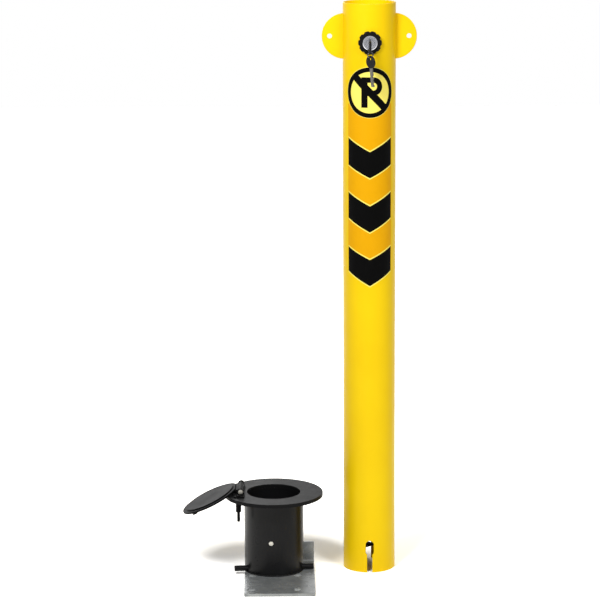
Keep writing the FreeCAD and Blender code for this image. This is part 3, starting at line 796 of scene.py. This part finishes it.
@dataclass
class GroundSocket:
    """The ground socket with its flange, lid and foot bracket."""

    shop: Paintshop
    centre: Point = (-165.0, -30.0)
    tube_radius: float = 50.8
    flange_foot: float = 136.0
    bracket_top: float = 5.0
    hinge: Point = (56.5, 149.2)
    lid_open: float = 205.589
    lid_chord: float = 9.0
    # The grey disc of painted glare on the lid's inner face.
    inlay_radius: float = 44.2
    inlay_height: float = 140.28
    inlay_film: float = 0.12
    inlay_rings: int = 12
    inlay_steps: int = 96
    weld_radius: float = 1.5
    weld_reach: float = 0.8
    weld_drop: float = 0.9
    flange_weld: tuple[float, float] = (-179.0, 179.0)
    foot_weld: tuple[float, float] = (196.0, 344.0)
    coats: dict[str, Coat] = field(default_factory=lambda: {
        "socket_tube": Coat.BLACK_PAINT, "socket_flange": Coat.FLANGE_TOP, "hinge_bracket": Coat.LID_BLACK,
        "cross_pin": Coat.FASTENER, "anchor_rod": Coat.BLACK_PAINT, "foot_bracket": Coat.GALVANISED,
        "hinge_pin": Coat.FASTENER, "hinge_bolts": Coat.LID_BLACK, "hinge_nuts": Coat.LID_BLACK,
        "lid_plate": Coat.LID_BLACK, "lid_arm": Coat.LID_BLACK, "lid_knob": Coat.LID_BLACK})

    def lid_painted_glare(self) -> None:
        """Builds a grey disc on the dished middle of the lid's inner face, a painted glare on the black paint
        that leaves its rim darker.
        """
        pivot = Vector((self.centre[0] - self.hinge[0], self.centre[1], self.hinge[1]))
        swing = Matrix.Rotation(math.radians(-self.lid_open), 3, "Y")
        chord = -self.hinge[0] + self.lid_chord
        bm = bmesh.new()
        grid = []
        steps = self.inlay_steps
        for radius in (self.inlay_radius * k / self.inlay_rings for k in range(1, self.inlay_rings + 1)):
            for step in range(steps):
                turn = 2 * math.pi * step / steps
                grid.append(bm.verts.new((max(radius * math.cos(turn), chord), radius * math.sin(turn), 0.0)))
        hub = bm.verts.new((0.0, 0.0, 0.0))
        for step in range(steps):
            ahead = (step + 1) % steps
            bm.faces.new((hub, grid[step], grid[ahead]))
            for ring in range(self.inlay_rings - 1):
                one, two = ring * steps, (ring + 1) * steps
                bm.faces.new((grid[one + step], grid[two + step], grid[two + ahead], grid[one + ahead]))
        raised = bmesh.ops.extrude_face_region(bm, geom=bm.faces[:])["geom"]
        lower = {v for v in raised if isinstance(v, bmesh.types.BMVert)}
        for vert in bm.verts:
            low = self.inlay_height - (self.inlay_film if vert in lower else 0.0)
            closed = Vector((self.centre[0] + vert.co.x, self.centre[1] + vert.co.y, low))
            vert.co = (swing @ (closed - pivot) + pivot) * MM
        piece = mesh_piece("lid_glare_inlay", bm)
        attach(piece, "lid")
        self.shop.dress(piece, Coat.LID_GREY)

    def ring_weld(self, name: str, height: float, start: float, end: float, coat: Coat) -> None:
        """Builds a weld bead round the tube.

        Args:
            name: the bead's name.
            height: its height, in millimetres.
            start: where it starts round the tube, in degrees.
            end: where it ends, in degrees.
            coat: its finish.
        """
        radius = self.tube_radius + self.weld_reach

        def path(t: float) -> Vector:
            """Finds a point along the bead.

            Args:
                t: the share of the bead's length, 0 to 1.

            Returns:
                The point, in millimetres.
            """
            turn = math.radians(start + (end - start) * t)
            return Vector((self.centre[0] + radius * math.cos(turn), self.centre[1] + radius * math.sin(turn),
                           height))
        bead = WeldBead(name, path, radius * math.radians(abs(end - start)), self.weld_radius).build()
        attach(bead, POST_BODY)
        self.shop.dress(bead, coat)

    def build(self) -> None:
        """Dresses the socket's solids and adds its welds."""
        self.shop.dress_nodes(self.coats)
        self.lid_painted_glare()
        self.ring_weld("flange_weld", self.flange_foot - self.weld_drop, *self.flange_weld, Coat.BLACK_PAINT)
        self.ring_weld("foot_weld", self.bracket_top + self.weld_drop, *self.foot_weld, Coat.BLACK_PAINT)
        log.info("ground socket: %d solids dressed", len(self.coats))


@dataclass(frozen=True)
class Lamp:
    """A soft rectangular lamp."""

    name: str
    place: tuple[float, float, float]
    target: tuple[float, float, float]
    size: tuple[float, float]
    watts: float

    def build(self) -> None:
        """Adds the lamp to the scene, pointed at its target."""
        data = bpy.data.lights.new(self.name, "AREA")
        data.shape = "RECTANGLE"
        data.size, data.size_y = self.size
        data.energy = self.watts
        lamp = bpy.data.objects.new(self.name, data)
        bpy.context.scene.collection.objects.link(lamp)
        lamp.location = self.place
        lamp.rotation_euler = (Vector(self.target) - Vector(self.place)).to_track_quat("-Z", "Y").to_euler()


@dataclass
class Studio:
    """Pale floor, white surroundings, soft lamps and the camera."""

    camera_place: tuple[float, float, float] = (-0.1181, -4.4, 1.393)
    pitch: float = 11.82
    roll: float = -0.288
    lens: float = 157.98
    floor_half: float = 6.0
    floor_steps: int = 12
    floor_height: float = -0.0002
    near_side: float = 0.40
    ambient: float = 0.165
    sun_strength: float = 1.4
    sun_angle: float = 20.0
    sun_from: tuple[float, float, float] = (0.73, -1.0, 1.1)
    floor_colour: tuple[float, float, float] = (0.80, 0.79, 0.765)
    # The floor's gain is lowest near the object, a painted shade that deepens its shadow, and highest far
    # out, for a white ground.
    near_shade_gain: float = 2.05
    far_gain: float = 3.1
    near_reach: float = 0.1
    far_reach: float = 0.8
    dim_from: float = -0.45
    white_from: float = 0.25
    lamps: tuple[Lamp, ...] = (
        Lamp("front_lamp", (-0.75, -1.4, 1.75), (0.0, 0.0, 1.05), (0.6, 0.6), 29.0),
        Lamp("rear_lamp", (-0.9, 2.4, 1.5), (-0.05, 0.0, 0.5), (1.4, 1.6), 24.0),
    )

    def largest(self, tree: bpy.types.NodeTree, names: Sequence[str]) -> bpy.types.NodeSocket:
        """Returns a factor that is 1 for the named kinds of ray.

        Args:
            tree: the node tree that asks.
            names: the outputs of the light path node.

        Returns:
            The factor's socket.
        """
        path = tree.nodes.new("ShaderNodeLightPath")
        most = path.outputs[names[0]]
        for name in names[1:]:
            node = tree.nodes.new("ShaderNodeMath")
            node.operation = "MAXIMUM"
            tree.links.new(most, node.inputs[0])
            tree.links.new(path.outputs[name], node.inputs[1])
            most = node.outputs[0]
        return most

    def blend(self, tree: bpy.types.NodeTree, factor: bpy.types.NodeSocket,
              first: float | bpy.types.NodeSocket,
              second: float | bpy.types.NodeSocket) -> bpy.types.NodeSocket:
        """Mixes two values.

        Args:
            tree: the node tree that it goes into.
            factor: 0 gives the first, 1 the second.
            first: a number or a socket.
            second: a number or a socket.

        Returns:
            The mixed value's socket.
        """
        node = tree.nodes.new("ShaderNodeMix")
        tree.links.new(factor, node.inputs[0])
        for socket, value in ((node.inputs[2], first), (node.inputs[3], second)):
            if isinstance(value, float):
                socket.default_value = value
            else:
                tree.links.new(value, socket)
        return node.outputs[0]

    def surroundings(self) -> None:
        """Sets the world: white to the eye, dim on the near side for mirrors, softer as a light."""
        world = bpy.data.worlds.new("studio")
        bpy.context.scene.world = world
        world.use_nodes = True
        tree = world.node_tree
        way = tree.nodes.new("ShaderNodeSeparateXYZ")
        tree.links.new(tree.nodes.new("ShaderNodeTexCoord").outputs["Generated"], way.inputs["Vector"])
        depth = tree.nodes.new("ShaderNodeMapRange")
        for index, value in zip((1, 2, 3, 4), (self.dim_from, self.white_from, self.near_side, 1.0)):
            depth.inputs[index].default_value = value
        tree.links.new(way.outputs["Y"], depth.inputs[0])
        mirrored = self.blend(tree, self.largest(tree, ("Is Glossy Ray",)), self.ambient, depth.outputs[0])
        seen = self.blend(tree, self.largest(tree, ("Is Camera Ray", "Is Transmission Ray")), mirrored, 1.0)
        tree.links.new(seen, tree.nodes["Background"].inputs["Strength"])
        tree.nodes["Background"].inputs["Color"].default_value = (1.0, 1.0, 1.0, 1.0)

    def apply(self, tree: bpy.types.NodeTree, kind: str, operation: str,
              *values: float | tuple[float, float, float] | bpy.types.NodeSocket) -> bpy.types.Node:
        """Adds one sum.

        Args:
            tree: the node tree that it goes into.
            kind: the node's type.
            operation: what it works out.
            values: its inputs in order, each a constant or another node's output.

        Returns:
            The node.
        """
        node = tree.nodes.new(kind)
        node.operation = operation
        for socket, value in zip(node.inputs, values):
            if isinstance(value, (float, tuple)):
                socket.default_value = value
            else:
                tree.links.new(value, socket)
        return node

    def floor_show(self, tree: bpy.types.NodeTree) -> bpy.types.NodeSocket:
        """Finds how much paler the floor looks to the eye than it is.

        It grows paler further out, for a white ground, and is least pale near the object, a painted shade
        that deepens the object's shadow there.

        Args:
            tree: the floor's node tree.

        Returns:
            The socket of the factor on the floor's colour.
        """
        place = tree.nodes.new("ShaderNodeTexCoord").outputs["Object"]
        reach = self.apply(tree, "ShaderNodeVectorMath", "LENGTH", place).outputs["Value"]
        spread = tree.nodes.new("ShaderNodeMapRange")
        tree.links.new(reach, spread.inputs[0])
        ends = (self.near_reach, self.far_reach, self.near_shade_gain, self.far_gain)
        for index, value in zip((1, 2, 3, 4), ends):
            spread.inputs[index].default_value = value
        return spread.outputs[0]

    def floor(self) -> None:
        """Builds the pale floor, which keeps the object's shadow."""
        bm = bmesh.new()
        half = self.floor_half
        steps = self.floor_steps
        grid = [[bm.verts.new((-half + 2 * half * i / steps, -half + 2 * half * j / steps, self.floor_height))
                 for i in range(steps + 1)] for j in range(steps + 1)]
        for j in range(steps):
            for i in range(steps):
                bm.faces.new((grid[j][i], grid[j][i + 1], grid[j + 1][i + 1], grid[j + 1][i]))
        piece = mesh_piece("studio_floor", bm)
        material = bpy.data.materials.new("floor")
        material.use_nodes = True
        tree = material.node_tree
        tree.nodes.clear()
        output = tree.nodes.new("ShaderNodeOutputMaterial")
        matt = tree.nodes.new("ShaderNodeBsdfDiffuse")
        shown = self.largest(tree, ("Is Camera Ray", "Is Glossy Ray", "Is Transmission Ray"))
        # Scaled up to the eye, least near the object: painted shade around it.
        gain = self.blend(tree, shown, 1.0, self.floor_show(tree))
        paler = self.apply(tree, "ShaderNodeVectorMath", "SCALE", self.floor_colour)
        tree.links.new(gain, paler.inputs["Scale"])
        tree.links.new(paler.outputs[0], matt.inputs["Color"])
        tree.links.new(matt.outputs[0], output.inputs["Surface"])
        piece.data.materials.append(material)

    def sun(self) -> None:
        """Adds the soft light from the front right, which throws the shadows back to the left."""
        data = bpy.data.lights.new("key_sun", "SUN")
        data.energy = self.sun_strength
        data.angle = math.radians(self.sun_angle)
        light = bpy.data.objects.new("key_sun", data)
        bpy.context.scene.collection.objects.link(light)
        light.rotation_euler = (-Vector(self.sun_from)).to_track_quat("-Z", "Y").to_euler()

    def camera(self) -> None:
        """Sets the camera at the photograph's viewing angle."""
        data = bpy.data.cameras.new("camera")
        data.sensor_width = 36.0
        data.lens = self.lens
        data.clip_end = 50.0
        camera = bpy.data.objects.new("camera", data)
        bpy.context.scene.collection.objects.link(camera)
        camera.matrix_world = (Matrix.Translation(self.camera_place)
                               @ Matrix.Rotation(math.radians(90 - self.pitch), 4, "X")
                               @ Matrix.Rotation(math.radians(self.roll), 4, "Z"))
        bpy.context.scene.camera = camera

    def build(self) -> None:
        """Builds the whole studio."""
        self.surroundings()
        self.floor()
        self.sun()
        for lamp in self.lamps:
            lamp.build()
        self.camera()
        bpy.context.scene.view_settings.view_transform = "Standard"
        log.info("studio: floor, lamps and camera")


def main() -> None:
    """Builds the pieces in order."""
    logging.basicConfig(level=logging.INFO, format="%(name)s: %(message)s")
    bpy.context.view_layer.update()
    shop = Paintshop()
    for part in (Studio(), Post(shop), Lock(shop), GroundSocket(shop)):
        part.build()
    log.info("all pieces built")


if __name__ == "__main__":
    main()
